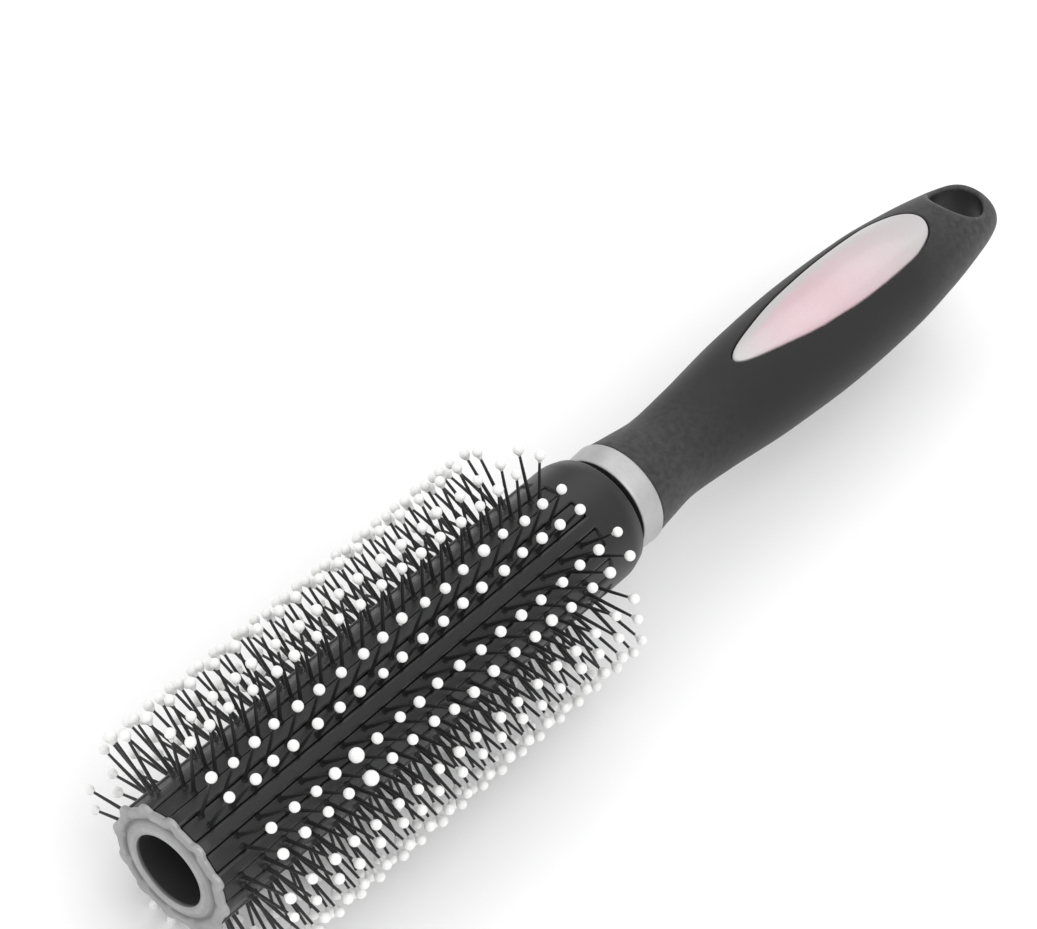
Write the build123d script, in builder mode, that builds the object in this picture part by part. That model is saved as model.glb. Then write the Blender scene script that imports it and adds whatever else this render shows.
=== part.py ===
from build123d import *
from math import atan2, cos, degrees, hypot, radians, sin
import os

os.makedirs("parts", exist_ok=True)

# Round barrel brush, in millimetres. X is the brush's own axis, from the end cap
# to the tail of the handle. The origin lies midway along the brush, on the surface
# that the lowest ball tips touch. Distances along the brush are given from the
# front of the end cap, and station() turns them into X.

OVERALL_LENGTH = 230.0

# Bristle strips
STRIP_COUNT = 12
STRIP_STEP = 360.0 / STRIP_COUNT
PINS_PER_ROW = 18
PIN_PITCH = 5.175
FIRST_PIN = 5.6
STRIP_STAGGER = PIN_PITCH / 2
TIP_CIRCLE_R = 23.6
ROW_HALF_ANGLE = 5.42
ROOT_OFFSET = 1.05
PIN_ROOT_R = 0.48
PIN_END_R = 0.31
PIN_SUNK = 0.4
BEAD_R = 1.02
FOOT_HALF = 2.1
FOOT_THICKNESS = 1.0
STEM_HALF = 1.65
STRIP_FACE_R = 11.75
STRIP_START = 2.5
STRIP_END = 100.5

# Barrel
BARREL_R = 12.4
BARREL_BORE_R = 8.3
BARREL_START = 1.3
BARREL_END = 110.6
CHANNEL_END = 100.8
CHANNEL_FLOOR_R = 9.85
CHANNEL_GAP = 0.1
RIDGE_ROUND = 0.4
SHOULDER_START = 107.4
SHOULDER_RIM_R = 11.3

# End cap
MOUTH_R = 7.3
CAP_FACE = 0.6
CAP_DISC_R = 12.3
LOBE_R = 1.7
LOBE_REACH = 13.35
LOBE_BLEND = 1.1
BEAD_OUTER_R = 9.1
GROOVE_INNER_R = 9.3
GROOVE_OUTER_R = 10.7
GROOVE_DEPTH = 0.45
CAP_SPIGOT_END = 9.5
PRESS_GAP = 0.05

# Collar ring
RING_START = 112.5
RING_END = 117.6
RING_FRONT_R = 10.2
RING_BACK_R = 10.6
RING_EDGE = 0.35

# Handle
HANDLE_TURN = -6.5
SEAT_R = 8.6
CORE_START = 98.0
CORE_BORE_R = 5.0
CORE_BORE_END = 168.0
GRIP_WALL = 1.9
TAIL_WALL = 1.2
TAIL_DROOP = 2.75
HANG_HOLE_R = 5.25
HANG_HOLE_AT = 222.2
CUT_LENGTH = 60.0

# Handle sections: distance, half-width, half-height
GRIP_SECTIONS = [
    (RING_END, 10.3, 10.3),
    (123.0, 9.55, 9.55),
    (130.0, 8.85, 8.85),
    (140.0, 9.5, 9.4),
    (158.0, 11.35, 10.65),
    (177.0, 12.3, 10.9),
    (196.0, 11.6, 10.7),
    (209.0, 10.35, 9.05),
    (219.0, 8.8, 7.3),
    (225.0, 7.5, 5.95),
    (228.4, 5.7, 4.5),
    (OVERALL_LENGTH, 2.4, 1.9),
]

# Inlay
INLAY_PROUD = 0.25
INLAY_GAP = 0.12
PEG_R = 1.2
PEG_DEPTH = 3.0
PEG_ROOT = 0.4
PEG_SECTIONS = [5, 6]
INLAY_OUTLINE = [(153.0, 1.9), (160.0, 3.9), (172.0, 6.1), (186.0, 7.0), (198.0, 6.6), (206.0, 4.7)]
INLAY_TIP = 151.0
INLAY_BROAD_END = 209.9

# The brush rests on the two rows beside the ridge that faces down.
AXIS_Z = TIP_CIRCLE_R * cos(radians(STRIP_STEP / 2 - ROW_HALF_ANGLE)) + BEAD_R


def station(distance):
    """X of a place on the brush, from its distance behind the end cap's front."""
    return distance - OVERALL_LENGTH / 2


def across(distance, turn=0.0, drop=0.0):
    """Plane square to the brush's axis, turned about it, and lowered along its own height."""
    side = (0, cos(radians(turn)), sin(radians(turn)))
    up = (0, -sin(radians(turn)), cos(radians(turn)))
    origin = (station(distance), -drop * up[1], AXIS_Z - drop * up[2])
    return Plane(origin=origin, x_dir=side, z_dir=(1, 0, 0))


def lengthwise(turn=0.0):
    """Plane through the axis, with its own X along the brush, for profiles and plan outlines."""
    up = (0, -sin(radians(turn)), cos(radians(turn)))
    return Plane(origin=(0, 0, AXIS_Z), x_dir=(1, 0, 0), z_dir=up)


BRUSH_AXIS = Axis((0, 0, AXIS_Z), (1, 0, 0))


def ring_profile(points):
    """Closed outline in the plane through the axis: pairs of distance and radius."""
    return Polyline(*[(station(distance), radius) for distance, radius in points], close=True)


def strip_turn(index):
    """Angle of a strip about the axis. Ridges face straight up and straight down."""
    return STRIP_STEP * (index + 0.5)


def pin_planes(index):
    """Planes at the pin roots of one strip, with Z along each pin, and the pins' length."""
    turn = strip_turn(index)
    tip_u = TIP_CIRCLE_R * sin(radians(ROW_HALF_ANGLE))
    tip_v = TIP_CIRCLE_R * cos(radians(ROW_HALF_ANGLE))
    rise = tip_v - STRIP_FACE_R
    lean = degrees(atan2(tip_u - ROOT_OFFSET, rise))
    planes = []
    for number in range(PINS_PER_ROW):
        distance = FIRST_PIN + number * PIN_PITCH + STRIP_STAGGER * (index % 2)
        section = across(distance, turn)
        for side in (-1, 1):
            root = section.from_local_coords((side * ROOT_OFFSET, STRIP_FACE_R, 0))
            tip = section.from_local_coords((side * tip_u, tip_v, 0))
            direction = Vector(*tip) - Vector(*root)
            start = Vector(*root) - direction.normalized() * PIN_SUNK
            planes.append(Plane(origin=start, x_dir=(1, 0, 0), z_dir=direction))
    length = PIN_SUNK + rise / cos(radians(lean))
    return planes, length


def make_strip(index):
    """One bristle strip: a T-shaped foot and two rows of tapered pins."""
    planes, length = pin_planes(index)
    stem_height = STRIP_FACE_R - CHANNEL_FLOOR_R
    with BuildPart() as strip:
        with BuildSketch(across(STRIP_START, strip_turn(index))):
            with Locations((0, CHANNEL_FLOOR_R)):
                Rectangle(2 * FOOT_HALF, FOOT_THICKNESS, align=(Align.CENTER, Align.MIN))
                Rectangle(2 * STEM_HALF, stem_height, align=(Align.CENTER, Align.MIN))
        extrude(amount=STRIP_END - STRIP_START)
        with Locations(*planes):
            Cone(PIN_ROOT_R, PIN_END_R, length, align=(Align.CENTER, Align.CENTER, Align.MIN))
    return strip.part


def make_tip_beads(index):
    """The ball tips of one strip, each with a socket that fits its pin's end."""
    planes, length = pin_planes(index)
    with BuildPart() as beads:
        with Locations(*[plane.offset(length) for plane in planes]):
            Sphere(BEAD_R)
        with Locations(*planes):
            Cone(
                PIN_ROOT_R,
                PIN_END_R,
                length,
                align=(Align.CENTER, Align.CENTER, Align.MIN),
                mode=Mode.SUBTRACT,
            )
    return beads.part


def handle_body(inset_front, inset_tail, last):
    """The handle's outer form, drawn in by a wall that changes evenly from front to tail."""
    run = OVERALL_LENGTH - RING_END
    with BuildPart() as body:
        for distance, half_width, half_height in GRIP_SECTIONS[:last]:
            along = (distance - RING_END) / run
            inset = inset_front + (inset_tail - inset_front) * along
            with BuildSketch(across(distance, HANDLE_TURN, TAIL_DROOP * along)):
                Ellipse(half_width - inset, half_height - inset)
        loft()
    return body.part


def peg_foot(section_number):
    """Plane at the inner end of the inlay peg that stands at one of the handle's sections."""
    distance, _, half_height = GRIP_SECTIONS[section_number]
    along = (distance - RING_END) / (OVERALL_LENGTH - RING_END)
    wall = GRIP_WALL + (TAIL_WALL - GRIP_WALL) * along
    height = half_height - wall - TAIL_DROOP * along - PEG_DEPTH
    plan = lengthwise(HANDLE_TURN)
    return Plane(origin=plan.from_local_coords((station(distance), 0, height)), z_dir=plan.z_dir)


def inlay_outline(grow):
    """Teardrop outline of the inlay in plan, made larger by the given amount."""
    upper = [(station(distance), half + grow) for distance, half in INLAY_OUTLINE]
    lower = [(x, -half) for x, half in reversed(upper)]
    tip = (station(INLAY_TIP) - grow, 0)
    broad_end = (station(INLAY_BROAD_END) + grow, 0)
    return Spline(tip, *upper, broad_end, *lower, periodic=True)


# Barrel body: channelled length, plain shoulder and chamfered rim
with BuildPart() as barrel_body:
    with BuildSketch(across(BARREL_START)) as channelled:
        Circle(BARREL_R)
        floor = CHANNEL_FLOOR_R
        under_lip = CHANNEL_FLOOR_R + FOOT_THICKNESS + CHANNEL_GAP
        beyond = BARREL_R + 1
        with PolarLocations((floor + under_lip) / 2, STRIP_COUNT, start_angle=STRIP_STEP / 2):
            Rectangle(under_lip - floor, 2 * (FOOT_HALF + CHANNEL_GAP), mode=Mode.SUBTRACT)
        with PolarLocations((floor + beyond) / 2, STRIP_COUNT, start_angle=STRIP_STEP / 2):
            Rectangle(beyond - floor, 2 * (STEM_HALF + CHANNEL_GAP), mode=Mode.SUBTRACT)
        ridge_corners = channelled.vertices().filter_by(
            lambda corner: hypot(corner.X, corner.Y) > BARREL_R - 0.01
        )
        fillet(ridge_corners, RIDGE_ROUND)
    extrude(amount=CHANNEL_END - BARREL_START)
    with BuildSketch(lengthwise()):
        with BuildLine():
            ring_profile(
                [
                    (CHANNEL_END, 0),
                    (CHANNEL_END, BARREL_R),
                    (SHOULDER_START, BARREL_R),
                    (BARREL_END, SHOULDER_RIM_R),
                    (BARREL_END, 0),
                ]
            )
        make_face()
    revolve(axis=BRUSH_AXIS)
    with BuildSketch(across(BARREL_START)):
        Circle(BARREL_BORE_R)
    extrude(amount=BARREL_END - BARREL_START, mode=Mode.SUBTRACT)
barrel_body.part.label = "barrel_body"
export_step(barrel_body.part, "parts/barrel_body.step")

# Bristle strips and their ball tips
for index in range(STRIP_COUNT):
    strip_part = make_strip(index)
    strip_part.label = f"bristle_strip_{index + 1:02d}"
    export_step(strip_part, f"parts/bristle_strip_{index + 1:02d}.step")
    beads_part = make_tip_beads(index)
    beads_part.label = f"tip_beads_{index + 1:02d}"
    export_step(beads_part, f"parts/tip_beads_{index + 1:02d}.step")

# End cap: scalloped flange, raised bead about the mouth, groove and spigot
with BuildPart() as end_cap:
    with BuildSketch(across(CAP_FACE)) as flange:
        Circle(CAP_DISC_R)
        with PolarLocations(LOBE_REACH - LOBE_R, STRIP_COUNT):
            Circle(LOBE_R)
        fillet(flange.vertices(), LOBE_BLEND)
    extrude(amount=BARREL_START - CAP_FACE)
    with BuildSketch(lengthwise()):
        with BuildLine():
            Line((station(CAP_FACE), BEAD_OUTER_R), (station(CAP_SPIGOT_END), BEAD_OUTER_R))
            Line((station(CAP_SPIGOT_END), BEAD_OUTER_R), (station(CAP_SPIGOT_END), MOUTH_R))
            Line((station(CAP_SPIGOT_END), MOUTH_R), (station(CAP_FACE), MOUTH_R))
            ThreePointArc(
                (station(CAP_FACE), MOUTH_R),
                (station(0), (MOUTH_R + BEAD_OUTER_R) / 2),
                (station(CAP_FACE), BEAD_OUTER_R),
            )
        make_face()
    revolve(axis=BRUSH_AXIS)
    with BuildSketch(lengthwise()):
        with BuildLine():
            ring_profile(
                [
                    (BARREL_START, BARREL_BORE_R - PRESS_GAP),
                    (CAP_SPIGOT_END + 1, BARREL_BORE_R - PRESS_GAP),
                    (CAP_SPIGOT_END + 1, BARREL_R),
                    (BARREL_START, BARREL_R),
                ]
            )
        make_face()
    revolve(axis=BRUSH_AXIS, mode=Mode.SUBTRACT)
    with BuildSketch(lengthwise()):
        with BuildLine():
            ThreePointArc(
                (station(CAP_FACE), GROOVE_INNER_R),
                (station(CAP_FACE + GROOVE_DEPTH), (GROOVE_INNER_R + GROOVE_OUTER_R) / 2),
                (station(CAP_FACE), GROOVE_OUTER_R),
            )
            Line((station(CAP_FACE), GROOVE_OUTER_R), (station(CAP_FACE), GROOVE_INNER_R))
        make_face()
    revolve(axis=BRUSH_AXIS, mode=Mode.SUBTRACT)
    with BuildSketch(across(CAP_FACE)):
        Circle(MOUTH_R)
    extrude(amount=BARREL_START, mode=Mode.SUBTRACT)
end_cap.part.label = "end_cap"
export_step(end_cap.part, "parts/end_cap.step")

# Collar ring: slightly flared, with rounded outer edges
with BuildPart() as collar_ring:
    with BuildSketch(lengthwise()):
        with BuildLine():
            ring_profile(
                [
                    (RING_START, SEAT_R + PRESS_GAP),
                    (RING_START, RING_FRONT_R),
                    (RING_END, RING_BACK_R),
                    (RING_END, SEAT_R + PRESS_GAP),
                ]
            )
        make_face()
    revolve(axis=BRUSH_AXIS)
    rims = collar_ring.edges().filter_by(GeomType.CIRCLE).sort_by(SortBy.RADIUS)[-2:]
    fillet(rims, RING_EDGE)
collar_ring.part.label = "collar_ring"
export_step(collar_ring.part, "parts/collar_ring.step")

# Handle core: hollow spigot, ring seat, tapering bar and the loop about the hanging hole
core_form = handle_body(GRIP_WALL, TAIL_WALL, len(GRIP_SECTIONS) - 1)
with BuildPart() as handle_core:
    add(core_form)
    with BuildSketch(lengthwise()):
        with BuildLine():
            ring_profile(
                [
                    (CORE_START, 0),
                    (CORE_START, BARREL_BORE_R - PRESS_GAP),
                    (BARREL_END, BARREL_BORE_R - PRESS_GAP),
                    (BARREL_END, SEAT_R),
                    (RING_END, SEAT_R),
                    (RING_END, 0),
                ]
            )
        make_face()
    revolve(axis=BRUSH_AXIS)
    with BuildSketch(across(CORE_START)):
        Circle(CORE_BORE_R)
    extrude(amount=CORE_BORE_END - CORE_START, mode=Mode.SUBTRACT)
    with BuildSketch(lengthwise(HANDLE_TURN)):
        with Locations((station(HANG_HOLE_AT), 0)):
            Circle(HANG_HOLE_R)
    extrude(amount=CUT_LENGTH / 2, both=True, mode=Mode.SUBTRACT)
core_before_pegs = handle_core.part

# Inlay: pearl teardrop, a little proud of the grip, with two press pegs beneath
with BuildPart() as handle_inlay:
    add(handle_body(-INLAY_PROUD, -INLAY_PROUD, len(GRIP_SECTIONS)))
    with BuildSketch(lengthwise(HANDLE_TURN)):
        with BuildLine():
            inlay_outline(-INLAY_GAP)
        make_face()
    extrude(amount=CUT_LENGTH, mode=Mode.INTERSECT)
    add(core_form, mode=Mode.SUBTRACT)
    with Locations(*[peg_foot(number) for number in PEG_SECTIONS]):
        Cylinder(PEG_R, PEG_DEPTH + PEG_ROOT, align=(Align.CENTER, Align.CENTER, Align.MIN))
handle_inlay.part.label = "handle_inlay"
export_step(handle_inlay.part, "parts/handle_inlay.step")

# The core's peg holes take the inlay's pegs
with BuildPart() as pegged_core:
    add(core_before_pegs)
    add(handle_inlay.part, mode=Mode.SUBTRACT)
pegged_core.part.label = "handle_core"
export_step(pegged_core.part, "parts/handle_core.step")

# Grip: soft overmould round the core, with the inlay's window and the hanging hole
with BuildPart() as handle_grip:
    add(handle_body(0, 0, len(GRIP_SECTIONS)))
    add(core_form, mode=Mode.SUBTRACT)
    with BuildSketch(lengthwise(HANDLE_TURN)):
        with Locations((station(HANG_HOLE_AT), 0)):
            Circle(HANG_HOLE_R)
    extrude(amount=CUT_LENGTH / 2, both=True, mode=Mode.SUBTRACT)
    with BuildSketch(lengthwise(HANDLE_TURN)):
        with BuildLine():
            inlay_outline(0)
        make_face()
    extrude(amount=CUT_LENGTH, mode=Mode.SUBTRACT)
handle_grip.part.label = "handle_grip"
export_step(handle_grip.part, "parts/handle_grip.step")
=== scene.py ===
import math
from itertools import product

import bmesh
import bpy
import numpy as np
from mathutils import Matrix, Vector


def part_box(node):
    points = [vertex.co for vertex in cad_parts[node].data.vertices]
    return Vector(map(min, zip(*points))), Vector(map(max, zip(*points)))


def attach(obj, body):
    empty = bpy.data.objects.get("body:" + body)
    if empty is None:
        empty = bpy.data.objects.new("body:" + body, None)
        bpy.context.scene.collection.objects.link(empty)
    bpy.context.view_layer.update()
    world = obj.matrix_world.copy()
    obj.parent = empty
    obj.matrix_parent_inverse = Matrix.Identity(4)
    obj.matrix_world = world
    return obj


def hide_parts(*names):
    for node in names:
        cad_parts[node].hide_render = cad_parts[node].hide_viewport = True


# The visual model of a round barrel brush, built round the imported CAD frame.
# Shapes are worked out in millimetres and scaled to metres as each piece is made.
# Distances along the brush are given from the front of the end cap.

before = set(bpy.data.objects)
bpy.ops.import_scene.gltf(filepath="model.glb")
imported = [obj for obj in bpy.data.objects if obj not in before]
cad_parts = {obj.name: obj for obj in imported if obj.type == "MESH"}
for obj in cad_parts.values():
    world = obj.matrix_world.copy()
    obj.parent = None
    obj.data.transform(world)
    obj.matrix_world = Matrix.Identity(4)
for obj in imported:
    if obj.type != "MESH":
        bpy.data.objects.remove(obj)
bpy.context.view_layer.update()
MM = 0.001
FRONT_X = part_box("end_cap")[0].x / MM
AXIS_Z = (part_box("barrel_body")[0].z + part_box("barrel_body")[1].z) / 2 / MM

# Bristle strips
STRIPS = 12
STRIP_STEP = 30.0
PINS_PER_ROW = 18
PIN_PITCH = 5.175
FIRST_PIN = 5.6
TIP_CIRCLE_R = 23.6
ROW_HALF_ANGLE = 5.42
ROOT_OFFSET = 1.05
PIN_ROOT_R = 0.39
PIN_END_R = 0.23
PIN_SUNK = 0.35
PIN_SIDES = 10
PIN_FILLET = 0.3
PIN_FILLET_FADE = 0.22
BEND_ALONG = 0.32
BEND_ASIDE = 0.22
BEAD_R = 0.98
BALL_SIDES = 16
BALL_MEAN_SCALE = 0.99
BALL_SCALE_SPREAD = 0.045
BALL_DROP_SPREAD = 0.22
LARGE_BALL_STRIP = 1
LARGE_BALL_PIN = 4
LARGE_BALL_SCALE = 1.35
STEM_HALF = 1.65
STRIP_FACE_R = 12.0
STRIP_START = 1.5
STRIP_END = 100.7

# Barrel
BARREL_R = 12.4
BARREL_BORE_R = 8.3
BARREL_START = 1.3
BARREL_END = 110.6
CHANNEL_END = 100.8
CHANNEL_FLOOR_R = 9.8
CHANNEL_HALF = 1.75
CHANNEL_RINGS = 54
CHANNEL_EDGE_ROUND = 0.15
RIDGE_ROUND = 0.6
SHOULDER_START = 107.8
SHOULDER_RIM_R = 11.5
SHOULDER_LOOPS = (0.12, 0.2, 0.4)

# End cap
MOUTH_R = 7.3
CAP_FACE = 0.25
CAP_DISC_R = 12.2
LOBE_R = 1.7
LOBE_REACH = 13.1
LOBE_BLEND = 0.55
RIM_STARTS_R = 10.9
BEAD_OUTER_R = 9.1
BEAD_PROUD = 0.25
GROOVE_INNER_R = 9.35
GROOVE_OUTER_R = 10.6
GROOVE_DEPTH = 0.45
FRONT_ZONE = 0.62
DIMPLE_R = 10.65
DIMPLE_DEPTH = 0.55
DIMPLE_HALF_LENGTH = 0.75
DIMPLE_HALF_WIDTH = 0.48
COLUMNS_PER_LOBE = 36
CAP_SPIGOT_R = 8.25
CAP_SPIGOT_END = 9.5

# Collar ring
RING_START = 112.5
RING_END = 117.6
RING_FRONT_R = 10.2
RING_BACK_R = 10.6
RING_BORE_R = 8.65

# Handle
HANDLE_TURN = math.radians(-6.5)
TAIL_DROOP = 2.75
HANG_HOLE_R = 5.35
HANG_HOLE_AT = 222.2
HANG_HOLE_ROUND = 1.5
POCKET_EDGE_ROUND = 0.35
POCKET_FLOOR = 2.0
OVERALL_LENGTH = 230.0
GRIP_LOWS, GRIP_HIGHS, GRIP_STEP = (117.0, -13.2, -11.8), (231.0, 13.2, 11.8), 0.33
INLAY_LOWS, INLAY_HIGHS, INLAY_STEP = (150.0, -7.6, 5.0), (211.0, 7.6, 11.8), 0.25

# Handle sections: distance, half-width, half-height
GRIP_SECTIONS = [
    (117.6, 10.3, 10.3),
    (123.0, 9.55, 9.55),
    (130.0, 8.85, 8.85),
    (140.0, 9.5, 9.4),
    (158.0, 11.35, 10.65),
    (177.0, 12.3, 10.9),
    (196.0, 11.6, 10.7),
    (209.0, 10.35, 9.05),
    (219.0, 8.8, 7.3),
    (225.0, 7.5, 5.95),
    (228.4, 5.9, 4.6),
]

# Inlay outline: distance, half-width
INLAY_OUTLINE = [
    (151.0, 0.0),
    (153.0, 1.9),
    (160.0, 3.9),
    (172.0, 6.1),
    (186.0, 7.0),
    (198.0, 6.6),
    (206.0, 4.7),
    (209.9, 0.0),
]
INLAY_GAP = 0.2
INLAY_PROUD = 0.12
INLAY_EDGE_ROUND = 0.6
POCKET_DEPTH = 1.3


# ---------------------------------------------------------------- mesh helpers


def add_piece(name, points, faces, material, nodes, wear_and_painted_light=None, bare_and_painted_shade=None):
    """A mesh object from points in millimetres, which replaces its CAD nodes and rides on the brush."""
    mesh = bpy.data.meshes.new(name)
    mesh.from_pydata((np.asarray(points, float) * MM).tolist(), [], [list(f) for f in faces])
    work = bmesh.new()
    work.from_mesh(mesh)
    bmesh.ops.recalc_face_normals(work, faces=work.faces)
    work.to_mesh(mesh)
    work.free()
    mesh.polygons.foreach_set("use_smooth", [True] * len(mesh.polygons))
    # The per-point wear values also carry painted light on the grip near the collar and painted shade on
    # the inlay's far side.
    for label, values in (("wear_and_painted_light", wear_and_painted_light), ("bare_and_painted_shade", bare_and_painted_shade)):
        if values is not None:
            layer = mesh.attributes.new(label, "FLOAT", "POINT")
            layer.data.foreach_set("value", np.asarray(values, np.float32))
    mesh.materials.append(material)
    piece = bpy.data.objects.new(name, mesh)
    bpy.context.scene.collection.objects.link(piece)
    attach(piece, "root")
    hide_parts(*nodes)
    return piece


def rounded_outline(corners, steps=6):
    """Closed outline through (along, radius, rounding) corners, each drawn as an arc of its rounding."""
    outline = []
    total = len(corners)
    for number, (x, y, rounding) in enumerate(corners):
        here = np.array((x, y), float)
        if rounding <= 0:
            outline.append(here)
            continue
        before = np.array(corners[number - 1][:2], float) - here
        after = np.array(corners[(number + 1) % total][:2], float) - here
        before /= np.linalg.norm(before)
        after /= np.linalg.norm(after)
        half = math.acos(float(np.clip(before @ after, -1, 1))) / 2
        reach = rounding / math.tan(half)
        centre = here + (before + after) / np.linalg.norm(before + after) * rounding / math.sin(half)
        start = here + before * reach - centre
        finish = here + after * reach - centre
        first = math.atan2(start[1], start[0])
        sweep = (math.atan2(finish[1], finish[0]) - first + math.pi) % (2 * math.pi) - math.pi
        for step in range(steps + 1):
            angle = first + sweep * step / steps
            outline.append(centre + rounding * np.array((math.cos(angle), math.sin(angle))))
    return np.array(outline)


def thicken_outline(outline, longest, closed=True):
    """The same outline, with long runs divided so that no run is longer than given."""
    result = []
    for here, after in zip(outline, np.roll(outline, -1, axis=0) if closed else outline[1:]):
        parts = max(1, math.ceil(np.linalg.norm(after - here) / longest))
        result.extend(here + (after - here) * part / parts for part in range(parts))
    if not closed:
        result.append(outline[-1])
    return np.array(result)


def lathe(outline, count, shaped=None):
    """Points and faces of an outline of (distance, radius) turned about the brush's axis."""
    angles = np.arange(count) * 2 * math.pi / count
    distance = np.repeat(outline[:, 0], count)
    radius = np.repeat(outline[:, 1], count)
    angle = np.tile(angles, len(outline))
    if shaped is not None:
        distance, radius = shaped(distance, radius, angle)
    return turned(distance, radius, angle), loop_faces(len(outline), count, closed=True)


def turned(distance, radius, angle):
    """Places given by distance, radius and angle about the axis. A ridge of the barrel lies at angle 0."""
    return np.stack(
        (FRONT_X + distance, -radius * np.sin(angle), AXIS_Z + radius * np.cos(angle)), axis=1
    )


def loop_faces(rings, count, closed):
    """Quads between neighbouring rings of points, each ring closed on itself."""
    faces = []
    for ring in range(rings if closed else rings - 1):
        here = ring * count
        after = (ring + 1) % rings * count
        for spot in range(count):
            beside = (spot + 1) % count
            faces.append((here + spot, after + spot, after + beside, here + beside))
    return faces


# ---------------------------------------------------------------- smooth fields


class Curve:
    """A smooth curve through pairs of numbers that never overshoots them, run on straight past its ends."""

    def __init__(self, pairs):
        self.x = np.array([pair[0] for pair in pairs], float)
        self.y = np.array([pair[1] for pair in pairs], float)
        gaps = np.diff(self.x)
        rises = np.diff(self.y) / gaps
        slopes = np.zeros(len(self.x))
        for i in range(1, len(gaps)):
            if rises[i - 1] * rises[i] > 0:
                first = 2 * gaps[i] + gaps[i - 1]
                second = gaps[i] + 2 * gaps[i - 1]
                slopes[i] = (first + second) / (first / rises[i - 1] + second / rises[i])
        slopes[0] = 1.5 * rises[0] - 0.5 * slopes[1]
        slopes[-1] = 1.5 * rises[-1] - 0.5 * slopes[-2]
        self.slopes = slopes

    def __call__(self, x):
        x = np.asarray(x, float)
        inside = np.clip(x, self.x[0], self.x[-1])
        i = np.clip(np.searchsorted(self.x, inside) - 1, 0, len(self.x) - 2)
        gap = self.x[i + 1] - self.x[i]
        t = (inside - self.x[i]) / gap
        value = (
            (2 * t**3 - 3 * t**2 + 1) * self.y[i]
            + (t**3 - 2 * t**2 + t) * gap * self.slopes[i]
            + (3 * t**2 - 2 * t**3) * self.y[i + 1]
            + (t**3 - t**2) * gap * self.slopes[i + 1]
        )
        past = x - inside
        return value + past * np.where(past < 0, self.slopes[0], self.slopes[-1])


def soft_max(first, second, blend):
    """The larger of two fields, rounded where they cross."""
    near = np.maximum(blend - np.abs(first - second), 0) / blend
    return np.maximum(first, second) + near * near * blend / 4


def surface_net(field, lows, highs, step):
    """Points and quads of the closed surface where a field is zero, the field being negative inside."""
    axes = [np.arange(low, high + step, step) for low, high in zip(lows, highs)]
    inside = field(*np.meshgrid(*axes, indexing="ij")) < 0
    shape = np.array(inside.shape) - 1
    filled = np.zeros(shape, np.int8)
    for i, j, k in product((0, 1), repeat=3):
        filled += inside[i : i + shape[0], j : j + shape[1], k : k + shape[2]]
    mixed = (filled > 0) & (filled < 8)
    number = np.full(shape, -1)
    number[mixed] = np.arange(mixed.sum())
    points = np.array(lows) + (np.argwhere(mixed) + 0.5) * step
    quads = []
    for axis in range(3):
        here = np.moveaxis(inside, axis, 0)
        crossing = np.moveaxis(here[:-1] != here[1:], 0, axis)
        spots = np.argwhere(crossing)
        leaving = inside[tuple(spots.T)]
        second, third = (axis + 1) % 3, (axis + 2) % 3
        corners = []
        for back_second, back_third in ((1, 1), (0, 1), (0, 0), (1, 0)):
            cell = spots.copy()
            cell[:, second] -= back_second
            cell[:, third] -= back_third
            corners.append(number[tuple(cell.T)])
        quad = np.stack(corners, axis=1)
        quads.append(np.where(leaving[:, None], quad, quad[:, ::-1]))
    return points, np.concatenate(quads)


def onto_field(points, field, rounds=2):
    """Points moved straight on to the field's zero surface."""
    reach = 0.02
    for _ in range(rounds):
        value = field(*points.T)
        slope = np.stack(
            [
                (field(*(points + shift).T) - field(*(points - shift).T)) / (2 * reach)
                for shift in np.eye(3) * reach
            ],
            axis=1,
        )
        size = np.maximum((slope**2).sum(axis=1), 0.05)
        points = points - slope * (np.clip(value, -0.5, 0.5) / size)[:, None]
    return points


def settled(points, quads, field, rounds=5):
    """The net's points evened out along the surface that they lie on."""
    ends = np.concatenate([quads[:, [i, (i + 1) % 4]] for i in range(4)])
    ends = np.concatenate((ends, ends[:, ::-1]))
    count = np.bincount(ends[:, 0], minlength=len(points))[:, None]
    points = onto_field(points, field)
    for _ in range(rounds):
        total = np.stack(
            [np.bincount(ends[:, 0], points[ends[:, 1], i], len(points)) for i in range(3)], axis=1
        )
        points = onto_field(points + 0.5 * (total / count - points), field, rounds=1)
    return onto_field(points, field)


# ---------------------------------------------------------------- materials


def new_material(name, **constants):
    """A material with one main shader, whose constant values are set on its own sockets."""
    material = bpy.data.materials.new(name)
    material.use_nodes = True
    tree = material.node_tree
    shader = tree.nodes["Principled BSDF"]
    for key, value in constants.items():
        shader.inputs[key.replace("_", " ")].default_value = value
    return material, tree, shader


def noise(tree, size, detail=3.0, stretch=(1.0, 1.0, 1.0)):
    """Noise whose grains are about size millimetres across, drawn out along an axis by its stretch."""
    place = tree.nodes.new("ShaderNodeTexCoord")
    mapping = tree.nodes.new("ShaderNodeMapping")
    mapping.inputs["Scale"].default_value = [1.0 / value for value in stretch]
    texture = tree.nodes.new("ShaderNodeTexNoise")
    texture.inputs["Scale"].default_value = 1.0 / (size * MM)
    texture.inputs["Detail"].default_value = detail
    tree.links.new(place.outputs["Object"], mapping.inputs["Vector"])
    tree.links.new(mapping.outputs["Vector"], texture.inputs["Vector"])
    return texture.outputs["Fac"]


def spread(tree, source, low, high, start=0.3, end=0.7):
    """Source's values from start to end spread over low to high."""
    node = tree.nodes.new("ShaderNodeMapRange")
    node.inputs["From Min"].default_value = start
    node.inputs["From Max"].default_value = end
    node.inputs["To Min"].default_value = low
    node.inputs["To Max"].default_value = high
    tree.links.new(source, node.inputs["Value"])
    return node.outputs["Result"]


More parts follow.
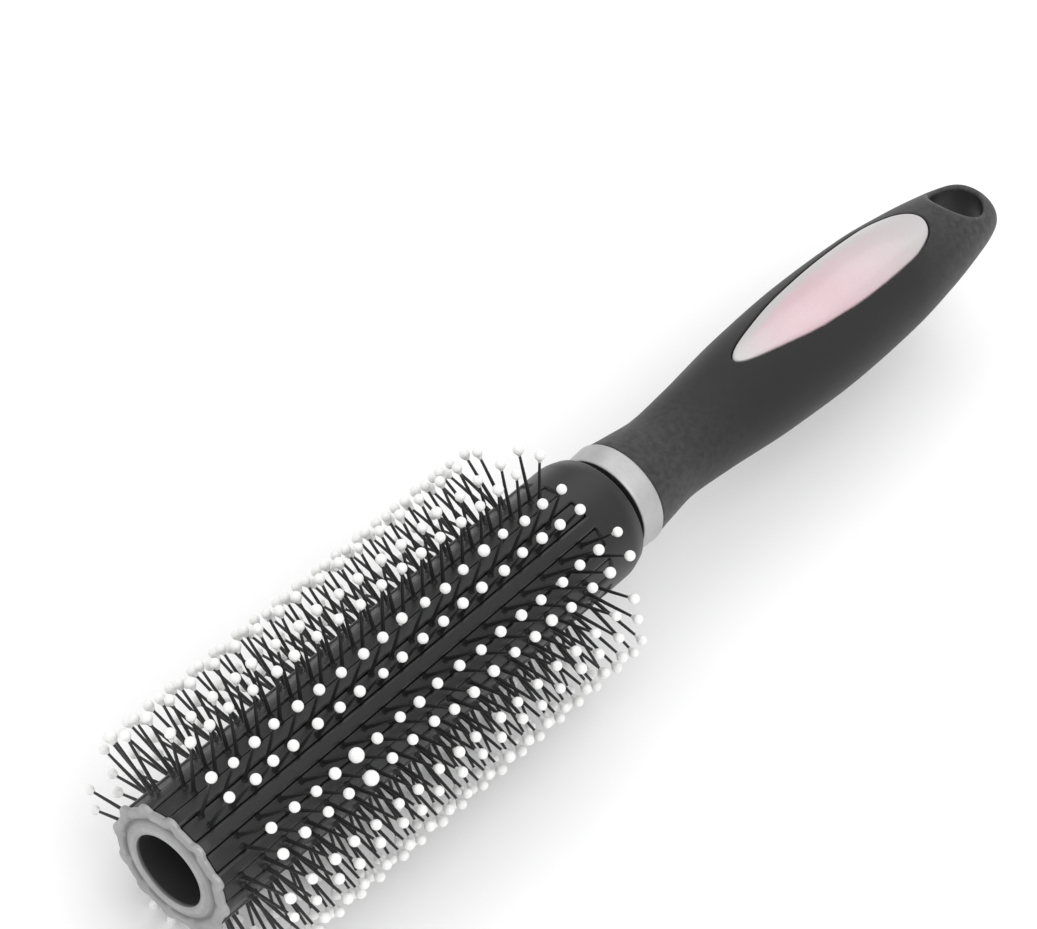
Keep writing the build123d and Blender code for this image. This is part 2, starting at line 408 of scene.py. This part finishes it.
def math_node(tree, operation, first, second):
    """Two values, or a value and a number, put together."""
    node = tree.nodes.new("ShaderNodeMath")
    node.operation = operation
    tree.links.new(first, node.inputs[0])
    if isinstance(second, (int, float)):
        node.inputs[1].default_value = second
    else:
        tree.links.new(second, node.inputs[1])
    return node.outputs["Value"]


def blended(tree, share, first, second):
    """One colour turning into another as share goes from 0 to 1."""
    node = tree.nodes.new("ShaderNodeMix")
    node.data_type = "RGBA"
    tree.links.new(share, node.inputs["Factor"])
    for socket, colour in ((node.inputs[6], first), (node.inputs[7], second)):
        if isinstance(colour, tuple):
            socket.default_value = (*colour, 1.0)
        else:
            tree.links.new(colour, socket)
    return node.outputs[2]


def bumped(tree, shader, layers):
    """Small relief on the surface: pairs of a height source and its depth in millimetres."""
    below = None
    for height, depth in layers:
        node = tree.nodes.new("ShaderNodeBump")
        node.inputs["Distance"].default_value = depth * MM
        node.inputs["Strength"].default_value = 1.0
        tree.links.new(height, node.inputs["Height"])
        if below is not None:
            tree.links.new(below, node.inputs["Normal"])
        below = node.outputs["Normal"]
    tree.links.new(below, shader.inputs["Normal"])


def mesh_value(tree, name):
    """A value that the mesh carries at each point."""
    node = tree.nodes.new("ShaderNodeAttribute")
    node.attribute_name = name
    return node.outputs["Fac"]


def plastic(name, dark, light, rub_and_light_colour, rough, grain, **constants):
    """Moulded plastic: slightly uneven colour and gloss, fine grain, and a paler colour on worn edges,
    which on the grip is also painted light.
    """
    material, tree, shader = new_material(name, **constants)
    broad = noise(tree, 9.0, stretch=(2.5, 1.0, 1.0))
    fine = noise(tree, grain, detail=2.0)
    base = blended(tree, spread(tree, broad, 0.0, 1.0), dark, light)
    rub_and_light_patches = spread(tree, noise(tree, 1.3, detail=5.0), 0.25, 1.0)
    # The paler colour marks worn edges, and on the grip it is also painted light near the collar.
    rub_and_light = math_node(tree, "MULTIPLY", mesh_value(tree, "wear_and_painted_light"), rub_and_light_patches)
    tree.links.new(blended(tree, rub_and_light, base, rub_and_light_colour), shader.inputs["Base Color"])
    gloss = spread(tree, broad, rough - 0.04, rough + 0.05)
    polish = spread(tree, rub_and_light, 0.0, 0.1, 0.0, 1.0)
    tree.links.new(math_node(tree, "SUBTRACT", gloss, polish), shader.inputs["Roughness"])
    bumped(tree, shader, [(broad, 0.02), (fine, 0.012)])
    return material


def make_silver(name, dull, bright, rub_and_light_colour):
    """Satin silver with turning marks and soft blotches. The black plastic shows where the finish is left
    off, and the same near-black is painted as shade in the cap's groove and on the collar's front face.
    """
    material, tree, shader = new_material(name)
    broad = noise(tree, 5.0)
    marks = noise(tree, 0.5, detail=2.0, stretch=(0.5, 6.0, 6.0))
    base = blended(tree, spread(tree, broad, 0.0, 1.0), (dull,) * 3, (bright,) * 3)
    rub_and_light = math_node(tree, "MULTIPLY", mesh_value(tree, "wear_and_painted_light"), spread(tree, noise(tree, 0.9), 0.2, 1.0))
    base = blended(tree, rub_and_light, base, (rub_and_light_colour,) * 3)
    # Near-black where the plastic is unplated, and also painted shade in the cap's groove and on the
    # collar's front band.
    bare_and_painted_shade = mesh_value(tree, "bare_and_painted_shade")
    base = blended(tree, bare_and_painted_shade, base, (0.028, 0.028, 0.028))
    tree.links.new(base, shader.inputs["Base Color"])
    tree.links.new(spread(tree, bare_and_painted_shade, 0.75, 0.0, 0.0, 1.0), shader.inputs["Metallic"])
    tree.links.new(spread(tree, marks, 0.42, 0.54), shader.inputs["Roughness"])
    bumped(tree, shader, [(broad, 0.02), (marks, 0.005)])
    return material


def make_pearl():
    """Pearl pink moulding under a clear coat: drifting pearl cloud and fine glints."""
    material, tree, shader = new_material(
        "pearl_inlay", Metallic=0.15, Coat_Weight=0.5, Coat_Roughness=0.12
    )
    cloud = noise(tree, 11.0, detail=4.0, stretch=(1.8, 1.0, 1.0))
    glint = noise(tree, 0.22, detail=1.0)
    base = blended(tree, spread(tree, cloud, 0.0, 1.0), (0.59, 0.40, 0.435), (0.61, 0.46, 0.495))
    # Grey where the mesh asks: paler pearl at the ends, and painted shade down the far side.
    pale_and_shade = math_node(tree, "MULTIPLY", mesh_value(tree, "wear_and_painted_light"), spread(tree, cloud, 1.0, 0.8))
    base = blended(tree, pale_and_shade, base, (0.49, 0.485, 0.485))
    base = blended(tree, spread(tree, glint, 0.0, 0.3, 0.5, 0.75), base, (0.68, 0.62, 0.64))
    tree.links.new(base, shader.inputs["Base Color"])
    tree.links.new(spread(tree, glint, 0.30, 0.42), shader.inputs["Roughness"])
    bumped(tree, shader, [(cloud, 0.03), (glint, 0.004)])
    return material


def make_ball_white():
    """White ball tips, dipped and cured: slightly uneven white and gloss."""
    material, tree, shader = new_material("tip_white", IOR=1.5)
    patch = noise(tree, 1.4)
    base = blended(tree, spread(tree, patch, 0.0, 1.0), (0.80, 0.80, 0.79), (0.88, 0.88, 0.87))
    tree.links.new(base, shader.inputs["Base Color"])
    tree.links.new(spread(tree, patch, 0.25, 0.45), shader.inputs["Roughness"])
    bumped(tree, shader, [(noise(tree, 0.6), 0.02)])
    return material


BARREL_PLASTIC = plastic(
    "barrel_plastic",
    (0.010, 0.010, 0.0105),
    (0.014, 0.014, 0.0145),
    (0.035, 0.035, 0.035),
    rough=0.38,
    grain=0.25,
    Specular_IOR_Level=0.4,
)
BRISTLE_NYLON = plastic(
    "bristle_nylon",
    (0.014, 0.014, 0.0145),
    (0.020, 0.020, 0.0205),
    (0.045, 0.045, 0.045),
    rough=0.36,
    grain=0.3,
    Specular_IOR_Level=0.35,
)
CORE_PLASTIC = plastic(
    "core_plastic",
    (0.007, 0.007, 0.0075),
    (0.010, 0.010, 0.0105),
    (0.03, 0.03, 0.03),
    rough=0.45,
    grain=0.3,
)
# The grip's paler colour serves both for its worn lip and as painted light near the collar.
SOFT_GRIP = plastic(
    "soft_grip",
    (0.011, 0.0102, 0.0106),
    (0.015, 0.0142, 0.0146),
    (0.075, 0.074, 0.075),
    rough=0.58,
    grain=0.16,
    Specular_IOR_Level=0.3,
    Sheen_Weight=0.05,
    Sheen_Roughness=0.5,
)
CAP_SILVER = make_silver("silver_cap", 0.30, 0.37, 0.46)
COLLAR_SILVER = make_silver("silver_collar", 0.43, 0.50, 0.50)
PEARL = make_pearl()
BALL_WHITE = make_ball_white()


# ---------------------------------------------------------------- barrel


def sector_outline():
    """Across and outward places of one twelfth of the channelled outline, between two ridges' middles."""
    ridge_half = math.radians(STRIP_STEP / 2)
    centre_across = CHANNEL_HALF + RIDGE_ROUND
    centre_out = math.sqrt((BARREL_R - RIDGE_ROUND) ** 2 - centre_across**2)
    meets = math.atan2(centre_across, centre_out)
    left = []
    for angle in np.linspace(ridge_half, meets, 7)[:-1]:
        left.append((-BARREL_R * math.sin(angle), BARREL_R * math.cos(angle)))
    for turn in np.linspace(math.pi / 2 + meets, 0, 7):
        across = -centre_across + RIDGE_ROUND * math.cos(turn)
        left.append((across, centre_out + RIDGE_ROUND * math.sin(turn)))
    left += [(-CHANNEL_HALF, out) for out in (11.2, 10.5)]
    left += [(-CHANNEL_HALF * share, CHANNEL_FLOOR_R) for share in (1.0, 0.75, 0.5, 0.25)]
    right = [(-across, out) for across, out in reversed(left[1:])]
    return np.array(left + [(0.0, CHANNEL_FLOOR_R)] + right)


def make_barrel():
    """The ridged tube: channelled length, plain shoulder, chamfered rim and bore."""
    sector = sector_outline()
    out = np.hypot(sector[:, 0], sector[:, 1])
    own = np.arctan2(sector[:, 0], sector[:, 1])
    middles = [math.radians(STRIP_STEP * (index + 0.5)) for index in range(STRIPS)]
    channel_angle = np.concatenate([middle + own for middle in middles])
    channel_out = np.tile(out, STRIPS)
    edge = np.tile((out > BARREL_R - 0.3) & (out < BARREL_R - 0.005), STRIPS).astype(float)
    count = len(channel_out)
    plain_angle = np.arange(count) * 2 * math.pi / count
    rings = []
    wear_and_painted_light = []
    start_out = channel_out - CHANNEL_EDGE_ROUND
    rings.append(turned(np.full(count, BARREL_START), start_out, channel_angle))
    wear_and_painted_light.append(edge)
    first = BARREL_START + CHANNEL_EDGE_ROUND
    last = CHANNEL_END - CHANNEL_EDGE_ROUND
    for distance in list(np.linspace(first, last, CHANNEL_RINGS)) + [CHANNEL_END]:
        rings.append(turned(np.full(count, distance), channel_out, channel_angle))
        wear_and_painted_light.append(edge * 0.8)
    shoulder = rounded_outline(
        [(CHANNEL_END + gap, BARREL_R, 0) for gap in SHOULDER_LOOPS]
        + [
            (SHOULDER_START, BARREL_R, 7.0),
            (BARREL_END, SHOULDER_RIM_R, 0.6),
            (BARREL_END, BARREL_BORE_R, 0.15),
            (BARREL_START, BARREL_BORE_R, 0.15),
            (BARREL_START, CHANNEL_FLOOR_R - 0.5, 0),
        ]
    )
    for distance, radius in thicken_outline(shoulder, 2.0, closed=False):
        rings.append(turned(np.full(count, distance), np.full(count, radius), plain_angle))
        rim = BARREL_END - 0.35 < distance and radius > SHOULDER_RIM_R - 0.35
        wear_and_painted_light.append(np.full(count, 0.9 if rim else 0.0))
    faces = loop_faces(len(rings), count, closed=True)
    add_piece(
        "barrel",
        np.concatenate(rings),
        faces,
        BARREL_PLASTIC,
        ["barrel_body"],
        np.concatenate(wear_and_painted_light),
    )


# ---------------------------------------------------------------- bristle strips


def strip_axes(index):
    """Across and outward directions of a strip."""
    turn = math.radians(STRIP_STEP * (index + 0.5))
    return (
        np.array((0.0, math.cos(turn), math.sin(turn))),
        np.array((0.0, -math.sin(turn), math.cos(turn))),
    )


def strip_band(index):
    """The strip's stem: a long bar with softly rounded upper edges and ends."""
    across, outward = strip_axes(index)
    outline = rounded_outline(
        [
            (-STEM_HALF, CHANNEL_FLOOR_R + 0.05, 0.1),
            (-STEM_HALF, STRIP_FACE_R, 0.28),
            (STEM_HALF, STRIP_FACE_R, 0.28),
            (STEM_HALF, CHANNEL_FLOOR_R + 0.05, 0.1),
        ],
        steps=4,
    )
    outline = thicken_outline(outline, 0.8)
    middle = np.array((0.0, (CHANNEL_FLOOR_R + STRIP_FACE_R) / 2))
    shrink = [(0.0, 0.86), (0.08, 0.95), (0.25, 1.0)]
    length = STRIP_END - STRIP_START
    spots = [(STRIP_START + inset, scale) for inset, scale in shrink]
    spots += [(STRIP_START + length * share, 1.0) for share in np.linspace(0, 1, 50)[1:-1]]
    spots += [(STRIP_END - inset, scale) for inset, scale in reversed(shrink)]
    points = []
    for distance, scale in spots:
        section = middle + (outline - middle) * scale
        base = np.array((FRONT_X + distance, 0.0, AXIS_Z))
        points.append(base + section[:, :1] * across + section[:, 1:] * outward)
    count = len(outline)
    faces = loop_faces(len(spots), count, closed=False)
    faces.append(tuple(range(count)))
    faces.append(tuple(range((len(spots) - 1) * count, len(spots) * count))[::-1])
    return np.concatenate(points), faces


def pin_bends(index, rng):
    """Root, straight tip and the sideways bend at the tip of each of a strip's pins."""
    across, outward = strip_axes(index)
    half = math.radians(ROW_HALF_ANGLE)
    stagger = PIN_PITCH / 2 * (index % 2)
    pins = []
    for number in range(PINS_PER_ROW):
        distance = FIRST_PIN + number * PIN_PITCH + stagger
        base = np.array((FRONT_X + distance, 0.0, AXIS_Z))
        for side in (-1, 1):
            root = base + side * ROOT_OFFSET * across + (STRIP_FACE_R - PIN_SUNK) * outward
            tip = base + TIP_CIRCLE_R * (side * math.sin(half) * across + math.cos(half) * outward)
            along = rng.normal(0, BEND_ALONG)
            aside = rng.normal(0, BEND_ASIDE)
            pins.append((root, tip, along, aside))
    return pins


def pin_path(pin, across, outward, shares):
    """Places along a bent pin. Its length stays the same as it bends."""
    root, tip, along, aside = pin
    straight = tip - root
    length = np.linalg.norm(straight)
    sink = (along**2 + aside**2) / (2 * length)
    bend = along * np.array((1.0, 0.0, 0.0)) + aside * across - sink * outward
    shares = np.asarray(shares, float)[:, None]
    return root + shares * straight + bend * (0.45 * shares + 0.55 * shares**2)


def pin_mesh(pin, across, outward):
    """One tapered pin with a small fillet at its root."""
    shares = np.array((0.0, 0.03, 0.05, 0.075, 0.11, 0.2, 0.4, 0.6, 0.8, 1.0))
    path = pin_path(pin, across, outward, shares)
    height = shares * np.linalg.norm(pin[1] - pin[0]) - PIN_SUNK
    radius = PIN_ROOT_R + (PIN_END_R - PIN_ROOT_R) * shares
    radius = radius + PIN_FILLET * np.exp(-np.maximum(height, 0) / PIN_FILLET_FADE)
    slopes = np.gradient(path, axis=0)
    slopes /= np.linalg.norm(slopes, axis=1)[:, None]
    first = np.cross(slopes, across)
    first /= np.linalg.norm(first, axis=1)[:, None]
    second = np.cross(slopes, first)
    angles = np.arange(PIN_SIDES) * 2 * math.pi / PIN_SIDES
    circle = np.cos(angles)[:, None, None] * first + np.sin(angles)[:, None, None] * second
    rings = path + radius[:, None] * circle
    points = rings.transpose(1, 0, 2).reshape(-1, 3)
    faces = loop_faces(len(shares), PIN_SIDES, closed=False)
    faces.append(tuple(range(PIN_SIDES)))
    faces.append(tuple(range(len(points) - PIN_SIDES, len(points)))[::-1])
    return points, faces


def ball_mesh(centre, direction, radius, drop):
    """One ball tip: round, with a short neck that runs down its pin."""
    neck = [(-1.28 - drop, 0.30), (-1.12 - drop * 0.6, 0.40), (-0.96 - drop * 0.25, 0.50)]
    bulb = [(math.sin(angle), math.cos(angle)) for angle in np.radians(np.linspace(-48, 78, 9))]
    profile = np.array(neck + bulb) * radius
    helper = np.array((1.0, 0.0, 0.0))
    first = np.cross(direction, helper)
    first /= np.linalg.norm(first)
    second = np.cross(direction, first)
    angles = np.arange(BALL_SIDES) * 2 * math.pi / BALL_SIDES
    circle = np.cos(angles)[:, None] * first + np.sin(angles)[:, None] * second
    rings = [centre + along * direction + out * circle for along, out in profile]
    points = np.concatenate(rings + [(centre + radius * direction)[None, :]])
    faces = loop_faces(len(profile), BALL_SIDES, closed=False)
    faces.append(tuple(range(BALL_SIDES)))
    top = len(points) - 1
    last = (len(profile) - 1) * BALL_SIDES
    faces += [(last + i, top, last + (i + 1) % BALL_SIDES) for i in range(BALL_SIDES)]
    return points, faces


def gathered(meshes):
    """Several meshes as the points and faces of one."""
    points = []
    faces = []
    shift = 0
    for piece_points, piece_faces in meshes:
        points.append(piece_points)
        faces += [tuple(spot + shift for spot in face) for face in piece_faces]
        shift += len(piece_points)
    return np.concatenate(points), faces


def make_bristles():
    """Every strip with its pins, and every strip's ball tips."""
    rng = np.random.default_rng(12)
    for index in range(STRIPS):
        across, outward = strip_axes(index)
        pins = pin_bends(index, rng)
        points, faces = gathered(
            [strip_band(index)] + [pin_mesh(pin, across, outward) for pin in pins]
        )
        lift = np.hypot(points[:, 1], points[:, 2] - AXIS_Z)
        wear_and_painted_light = np.clip((lift - 19.0) / 5.0, 0, 1) * 0.6
        name = f"bristles_{index + 1:02d}"
        node = f"bristle_strip_{index + 1:02d}"
        add_piece(name, points, faces, BRISTLE_NYLON, [node], wear_and_painted_light)
        balls = []
        for number, pin in enumerate(pins):
            end = pin_path(pin, across, outward, (0.97, 1.0))
            direction = (end[1] - end[0]) / np.linalg.norm(end[1] - end[0])
            radius = BEAD_R * rng.normal(BALL_MEAN_SCALE, BALL_SCALE_SPREAD)
            drop = max(0.0, rng.normal(0.0, BALL_DROP_SPREAD))
            if index == LARGE_BALL_STRIP and number // 2 == LARGE_BALL_PIN:
                radius *= LARGE_BALL_SCALE
            balls.append(ball_mesh(end[1], direction, radius, drop))
        points, faces = gathered(balls)
        name = f"ball_tips_{index + 1:02d}"
        node = f"tip_beads_{index + 1:02d}"
        add_piece(name, points, faces, BALL_WHITE, [node])


# ---------------------------------------------------------------- cap and collar


def lobe_share(angle):
    """Angle from the nearest lobe's middle, in radians."""
    step = 2 * math.pi / STRIPS
    return (angle + step / 2) % step - step / 2


def rim_radius(angle):
    """Radius of the cap's scalloped rim: a disc with a small round lobe over each ridge."""
    away = lobe_share(angle)
    centre = LOBE_REACH - LOBE_R
    room = np.maximum(LOBE_R**2 - (centre * np.sin(away)) ** 2, 0)
    lobe = centre * np.cos(away) + np.sqrt(room)
    return soft_max(lobe, np.full_like(lobe, CAP_DISC_R), LOBE_BLEND)


def make_cap():
    """End cap: scalloped flange, groove with a dimple at each lobe, raised bead and spigot."""
    corners = [
        (CAP_SPIGOT_END, MOUTH_R, 0.15),
        (CAP_SPIGOT_END, CAP_SPIGOT_R, 0.3),
        (BARREL_START, CAP_SPIGOT_R, 0),
        (BARREL_START, CAP_DISC_R, 0.2),
        (CAP_FACE, CAP_DISC_R, 0.5),
        (CAP_FACE, GROOVE_OUTER_R, 0.2),
        (CAP_FACE + GROOVE_DEPTH, (GROOVE_INNER_R + GROOVE_OUTER_R) / 2, 0.3),
        (CAP_FACE, GROOVE_INNER_R, 0.08),
        (CAP_FACE, BEAD_OUTER_R, 0),
    ]
    outline = [tuple(corner) for corner in rounded_outline(corners)]
    middle = (MOUTH_R + BEAD_OUTER_R) / 2
    bead_half = (BEAD_OUTER_R - MOUTH_R) / 2
    for angle in np.linspace(0, math.pi, 15)[1:]:
        outline.append(
            (CAP_FACE - BEAD_PROUD * math.sin(angle), middle + bead_half * math.cos(angle))
        )
    outline = thicken_outline(np.array(outline), 0.7)

    def shaped(distance, radius, angle):
        share = np.clip((radius - RIM_STARTS_R) / (CAP_DISC_R - RIM_STARTS_R), 0, 1)
        share = share * share * (3 - 2 * share)
        wider = radius + share * (rim_radius(angle) - CAP_DISC_R)
        front = distance < CAP_FACE + FRONT_ZONE
        along_rim = lobe_share(angle) * radius / DIMPLE_HALF_LENGTH
        across_rim = (wider - DIMPLE_R) / DIMPLE_HALF_WIDTH
        hollow = np.exp(-(along_rim**2) - across_rim**2)
        return distance + np.where(front, DIMPLE_DEPTH * hollow, 0), wider

    points, faces = lathe(outline, STRIPS * COLUMNS_PER_LOBE, shaped)
    radius = np.hypot(points[:, 1], points[:, 2] - AXIS_Z)
    inwards = points[:, 0] - FRONT_X
    bare_and_painted_shade = np.clip((inwards - CAP_FACE - 0.35) / 0.25, 0, 1) * (radius < CAP_SPIGOT_R + 0.1)
    # Painted shade: the groove's bottom is darkened towards near-black, for the shade that falls in the
    # groove.
    painted_groove_shade = 0.6 * np.exp(-(((radius - 10.1) / 0.45) ** 2)) * (inwards < CAP_FACE + 0.7)
    bare_and_painted_shade = np.maximum(bare_and_painted_shade, painted_groove_shade)
    on_rim = np.clip((radius - 12.0) / 1.2, 0, 1)
    on_bead = np.exp(-((radius - middle) / 0.35) ** 2) * (points[:, 0] < FRONT_X + 0.3)
    wear_and_painted_light = np.clip(0.6 * on_rim + 0.7 * on_bead, 0, 1)
    add_piece("cap", points, faces, CAP_SILVER, ["end_cap"], wear_and_painted_light, bare_and_painted_shade)


def make_collar():
    """Collar ring: slightly flared and crowned, with rounded edges."""
    corners = [
        (RING_START, RING_BORE_R, 0.1),
        (RING_START, RING_FRONT_R, 0.4),
        ((RING_START + RING_END) / 2, (RING_FRONT_R + RING_BACK_R) / 2 + 0.05, 5.0),
        (RING_END, RING_BACK_R, 0.45),
        (RING_END, RING_BORE_R, 0.1),
    ]
    outline = thicken_outline(rounded_outline(corners, steps=7), 0.6)
    points, faces = lathe(outline, 192)
    radius = np.hypot(points[:, 1], points[:, 2] - AXIS_Z)
    from_edge = np.minimum(points[:, 0] - FRONT_X - RING_START, RING_END - points[:, 0] + FRONT_X)
    wear_and_painted_light = np.clip(1 - from_edge / 0.5, 0, 1) * (radius > 9.6)
    # Painted shade: the inner band of the front face is painted near-black, for the shade in the gap
    # between barrel and collar.
    on_front = points[:, 0] - FRONT_X - RING_START < 0.35
    bare_and_painted_shade = np.clip((RING_FRONT_R - 0.15 - radius) / 0.15, 0, 1) * on_front
    add_piece("collar", points, faces, COLLAR_SILVER, ["collar_ring"], wear_and_painted_light, bare_and_painted_shade)


# ---------------------------------------------------------------- handle

half_width_squared = Curve([(d, w * w) for d, w, _ in GRIP_SECTIONS] + [(OVERALL_LENGTH, 0.0)])
flatness = Curve([(d, w / h) for d, w, h in GRIP_SECTIONS])
inlay_squared = Curve([(d, w * w) for d, w in INLAY_OUTLINE])


def scaled_field(value, *slopes):
    """A field divided by the size of its slope, so that it reads as a distance near its surface."""
    return value / np.sqrt(sum(slope * slope for slope in slopes) + 1e-4)


def handle_field(distance, across, up):
    """Distance outside the handle's smooth outer form."""
    nudge = 0.05
    room = half_width_squared(distance)
    slope = (half_width_squared(distance + nudge) - half_width_squared(distance - nudge)) / (2 * nudge)
    flat = flatness(distance) ** 2
    value = across**2 + flat * up**2 - room
    return scaled_field(value, slope, 2 * across, 2 * flat * up)


def teardrop_field(distance, across):
    """Distance outside the inlay's teardrop outline, in plan."""
    nudge = 0.05
    room = inlay_squared(distance)
    slope = (inlay_squared(distance + nudge) - inlay_squared(distance - nudge)) / (2 * nudge)
    return scaled_field(across**2 - room, slope, 2 * across)


def grip_field(distance, across, up):
    """The soft grip, with its front face, the hanging hole and the inlay's pocket."""
    skin = handle_field(distance, across, up)
    pocket = np.maximum(teardrop_field(distance, across), -(skin + POCKET_DEPTH))
    pocket = np.maximum(pocket, POCKET_FLOOR - up)
    body = soft_max(skin, RING_END + 0.02 - distance, 0.5)
    body = soft_max(body, HANG_HOLE_R - np.hypot(distance - HANG_HOLE_AT, across), HANG_HOLE_ROUND)
    return soft_max(body, -pocket, POCKET_EDGE_ROUND)


def inlay_field(distance, across, up):
    """The inlay: a teardrop a little proud of the grip, softly rounded at its edge."""
    skin = handle_field(distance, across, up)
    outline = teardrop_field(distance, across) + INLAY_GAP
    top = soft_max(skin - INLAY_PROUD, outline, INLAY_EDGE_ROUND)
    return np.maximum(np.maximum(top, -(skin + POCKET_DEPTH - 0.1)), POCKET_FLOOR - up)


def handle_place(points):
    """Handle places (distance, across, up) as places in the brush's frame. The tail droops evenly."""
    distance, across, up = points.T
    droop = TAIL_DROOP * (distance - RING_END) / (OVERALL_LENGTH - RING_END)
    height = up - droop
    return np.stack(
        (
            FRONT_X + distance,
            across * math.cos(HANDLE_TURN) - height * math.sin(HANDLE_TURN),
            AXIS_Z + across * math.sin(HANDLE_TURN) + height * math.cos(HANDLE_TURN),
        ),
        axis=1,
    )


def make_handle():
    """Grip, inlay and the core that shows in the gap and the hanging hole."""
    points, quads = surface_net(grip_field, GRIP_LOWS, GRIP_HIGHS, GRIP_STEP)
    points = settled(points, quads, grip_field)
    distance, across, up = points.T
    from_hole = np.hypot(distance - HANG_HOLE_AT, across) - HANG_HOLE_R
    lip = np.exp(-(((from_hole - 0.5) / 0.7) ** 2)) * (handle_field(distance, across, up) > -1.0)
    # The hanging hole's lip is paler where it is worn. The grip turns paler towards its tail. Near the
    # collar it is painted light: a lighter tone standing for the light that falls there.
    tail = np.clip((distance - 196) / 24, 0, 1) * 0.6
    neck = np.exp(-(((distance - 120) / 16) ** 2)) * 0.55
    wear_and_painted_light = np.clip(0.5 * lip + tail + neck, 0, 1)
    add_piece("grip", handle_place(points), quads.tolist(), SOFT_GRIP, ["handle_grip"], wear_and_painted_light)
    points, quads = surface_net(inlay_field, INLAY_LOWS, INLAY_HIGHS, INLAY_STEP)
    points = settled(points, quads, inlay_field)
    edge = teardrop_field(points[:, 0], points[:, 1]) + INLAY_GAP
    from_tip = (points[:, 0] - INLAY_OUTLINE[0][0]) / 9.0
    from_broad_end = (INLAY_OUTLINE[-1][0] - points[:, 0]) / 20.0
    ends = np.exp(-(from_tip**2)) + np.exp(-(from_broad_end**2))
    # The inlay turns paler pearl towards its ends. Painted shade: the far long side is also greyed towards
    # its edge, for the shade where it curves away.
    painted_shade_far_side = np.clip(1 + edge / 4.5, 0, 1) * np.clip(points[:, 1] / 2.0, 0, 1)
    wear_and_painted_light = np.clip(1.6 * painted_shade_far_side + ends, 0, 1)
    add_piece("inlay", handle_place(points), quads.tolist(), PEARL, ["handle_inlay"], wear_and_painted_light)
    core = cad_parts["handle_core"]
    core.data.materials.clear()
    core.data.materials.append(CORE_PLASTIC)


make_barrel()
make_bristles()
make_cap()
make_collar()
make_handle()

# ---------------------------------------------------------------- floor, lights and camera


def make_floor():
    """A wide pale floor under the brush."""
    material, tree, shader = new_material("studio_floor", Roughness=0.9)
    patch = noise(tree, 120.0)
    base = blended(tree, spread(tree, patch, 0.0, 1.0), (0.93, 0.93, 0.93), (0.95, 0.95, 0.95))
    tree.links.new(base, shader.inputs["Base Color"])
    mesh = bpy.data.meshes.new("studio_floor")
    half = 3.0
    mesh.from_pydata(
        [(-half, -half, 0), (half, -half, 0), (half, half, 0), (-half, half, 0)], [], [(0, 1, 2, 3)]
    )
    mesh.materials.append(material)
    floor = bpy.data.objects.new("studio_floor", mesh)
    bpy.context.scene.collection.objects.link(floor)


def stand(thing, right, up, back, place):
    """A light or camera set at a place, with its own right, up and back directions."""
    matrix = Matrix.Identity(4)
    for row in range(3):
        matrix[row][0] = right[row]
        matrix[row][1] = up[row]
        matrix[row][2] = back[row]
        matrix[row][3] = place[row]
    thing.matrix_world = matrix


def add_softbox(name, place, size, power):
    """A large square light that faces the brush."""
    light = bpy.data.lights.new(name, "AREA")
    light.energy = power
    light.shape = "SQUARE"
    light.size = size
    box = bpy.data.objects.new(name, light)
    bpy.context.scene.collection.objects.link(box)
    target = np.array((0.0, 0.0, AXIS_Z * MM))
    back = np.array(place) - target
    back /= np.linalg.norm(back)
    right = np.cross((0.0, 0.0, 1.0), back)
    right /= np.linalg.norm(right)
    stand(box, right, np.cross(back, right), back, place)


def make_camera():
    """The camera at the reference view: a long lens, high in front and to the brush's side."""
    location = (-0.38920, -0.25673, 0.53653)
    right = (0.64701, -0.75836, 0.07917)
    up = (0.52644, 0.51940, 0.67312)
    back = (-0.55159, -0.39383, 0.73529)
    data = bpy.data.cameras.new("camera")
    data.sensor_width = 36.0
    data.lens = 132.57
    data.clip_start = 0.01
    camera = bpy.data.objects.new("camera", data)
    stand(camera, right, up, back, location)
    bpy.context.scene.collection.objects.link(camera)
    bpy.context.scene.camera = camera


def make_world():
    """Even white light from all round."""
    world = bpy.data.worlds.new("studio")
    world.use_nodes = True
    background = world.node_tree.nodes["Background"]
    background.inputs["Color"].default_value = (1.0, 1.0, 1.0, 1.0)
    background.inputs["Strength"].default_value = 0.8
    bpy.context.scene.world = world


make_floor()
add_softbox("key_light", (-0.2, -0.9, 1.4), 1.6, 12.0)
add_softbox("fill_light", (-1.2, 0.4, 0.9), 1.2, 3.0)
add_softbox("rear_light", (0.9, 0.5, 1.4), 1.4, 5.5)
make_camera()
make_world()
bpy.context.scene.view_settings.view_transform = "Standard"
